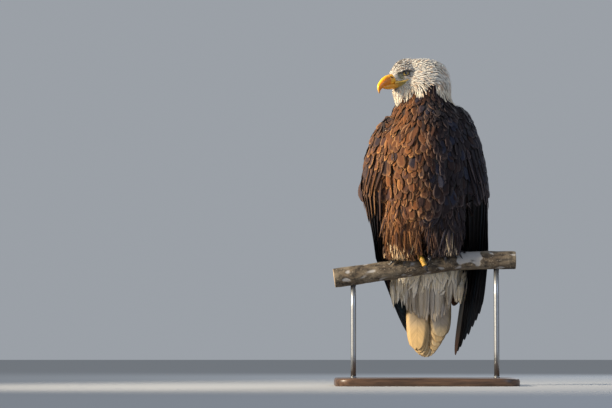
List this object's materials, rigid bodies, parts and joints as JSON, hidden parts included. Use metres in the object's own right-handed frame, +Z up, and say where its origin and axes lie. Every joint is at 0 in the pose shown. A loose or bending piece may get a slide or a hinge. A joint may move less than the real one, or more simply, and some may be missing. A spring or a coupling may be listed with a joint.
{
  "type": "bald eagle on a perch, still model",
  "caption": "Life-size still bald eagle, upright on a cut length of branch, head turned to its right, on a plain display stand.",
  "frame": {"origin": "centre of the underside of the stand's base", "axes": "+Z up, -Y to the front where the breast faces, +X to the bird's own left side"},
  "size_m": [0.4755, 0.32, 0.8526],
  "materials": {
    "brown_feathers": "soft dark brown feathers with paler edges",
    "flight_feathers": "near-black flight feathers with a cool sheen",
    "white_feathers": "white feathers, cream in places",
    "bill_horn": "amber-yellow horn, half gloss",
    "eye": "wet eye, pale yellow iris and black pupil",
    "toe_skin": "yellow scaled skin",
    "claw_horn": "black horn, half gloss",
    "bark": "grey-brown mottled bark",
    "stand_wood": "dark satin board",
    "stand_steel": "brushed round rod"
  },
  "bodies": {
    "root": {"head": "white_feathers", "neck": "white_feathers", "trunk": "brown_feathers", "undertail": "white_feathers", "tail": "white_feathers", "wing_left": "brown_feathers", "wing_right": "brown_feathers", "flight_left": "flight_feathers", "flight_right": "flight_feathers", "thigh_left": "brown_feathers", "thigh_right": "brown_feathers", "shank_left": "toe_skin", "shank_right": "toe_skin", "foot_left": "toe_skin", "foot_right": "toe_skin", "claw_left_1": "claw_horn", "claw_left_2": "claw_horn", "claw_left_3": "claw_horn", "claw_left_4": "claw_horn", "claw_right_1": "claw_horn", "claw_right_2": "claw_horn", "claw_right_3": "claw_horn", "claw_right_4": "claw_horn", "bill_upper": "bill_horn", "bill_lower": "bill_horn", "eye_left": "eye", "eye_right": "eye", "perch": "bark", "stand_base": "stand_wood", "stand_rod_left": "stand_steel", "stand_rod_right": "stand_steel"}
  },
  "joints": []
}
